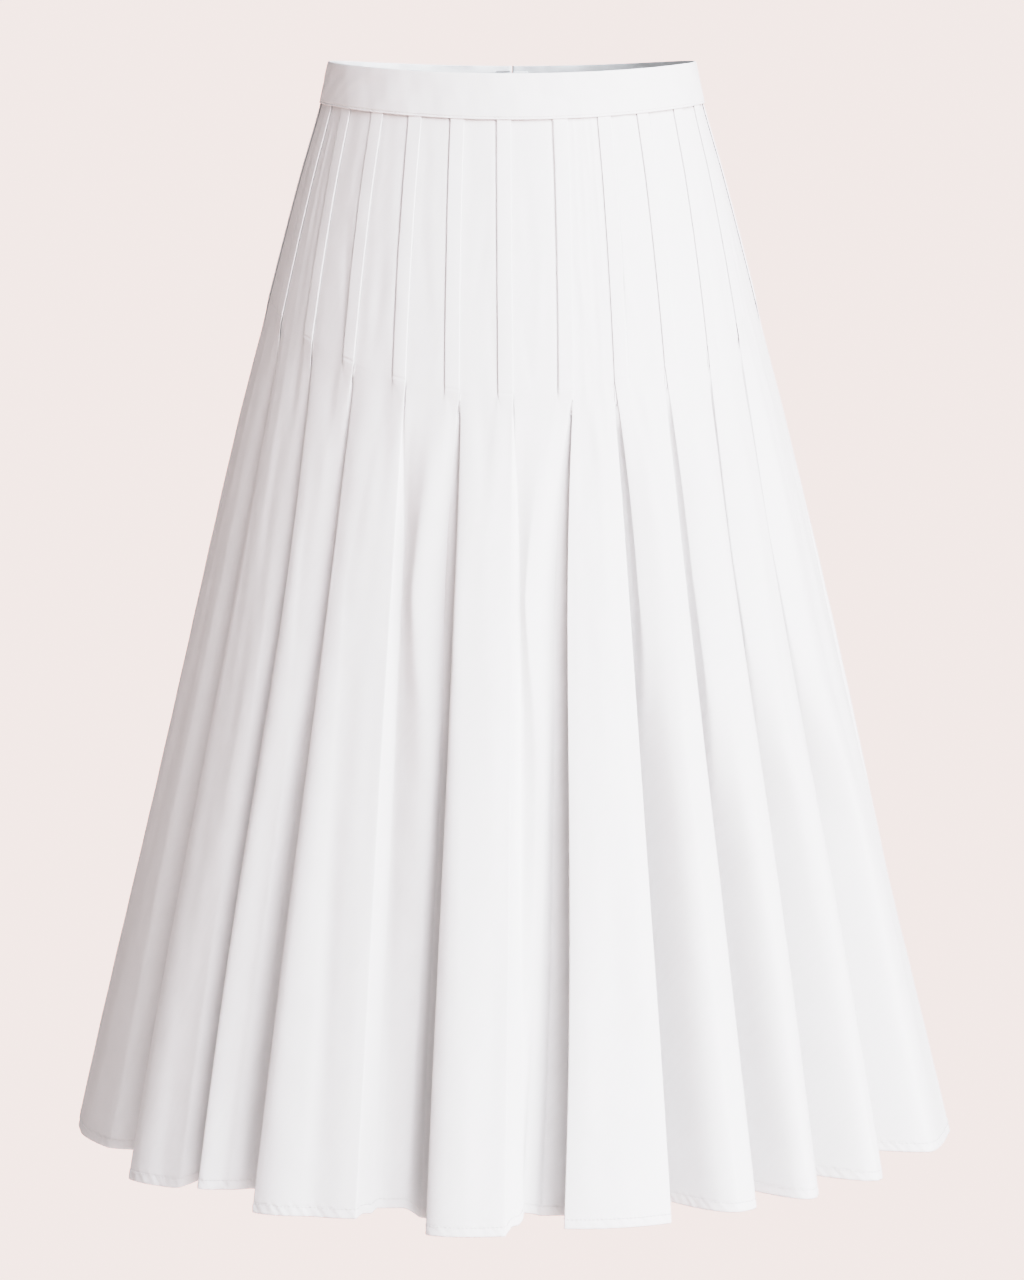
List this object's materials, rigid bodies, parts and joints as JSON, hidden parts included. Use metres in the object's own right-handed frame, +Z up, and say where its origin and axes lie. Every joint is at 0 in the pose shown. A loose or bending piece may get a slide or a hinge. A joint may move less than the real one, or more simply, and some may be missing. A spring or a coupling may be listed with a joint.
{
  "type": "pleated skirt",
  "caption": "Pleated midi skirt, plain waistband, pleats stitched down over the hips and opening into flutes at the hem, concealed back zip; hollow, shaped as worn.",
  "frame": {"origin": "middle of the waistband on the skirt's centre line, where the wearer's waist holds it up", "axes": "+Z up, centre front towards -Y, the wearer's left towards +X"},
  "size_m": [0.6069, 0.6194, 0.756],
  "materials": {
    "cotton": "matt white cotton, plain weave, faint sheen",
    "zip_tape": "woven polyester tape",
    "zip_enamel": "white enamel on die-cast zinc"
  },
  "bodies": {
    "skirt": {"front_panel": "cotton", "back_panel_left": "cotton", "back_panel_right": "cotton", "waistband": "cotton", "zip_tape_left": "zip_tape", "zip_tape_right": "zip_tape", "zip_slider": "zip_enamel"},
    "pull_tab": {"zip_pull_tab": "zip_enamel"}
  },
  "joints": [
    {"name": "pull_tab_swing", "type": "hinge", "parent": "skirt", "child": "pull_tab", "pos_m": [0, 0.1004, 0], "axis": [1, 0, 0], "range_deg": [0, 150]}
  ]
}
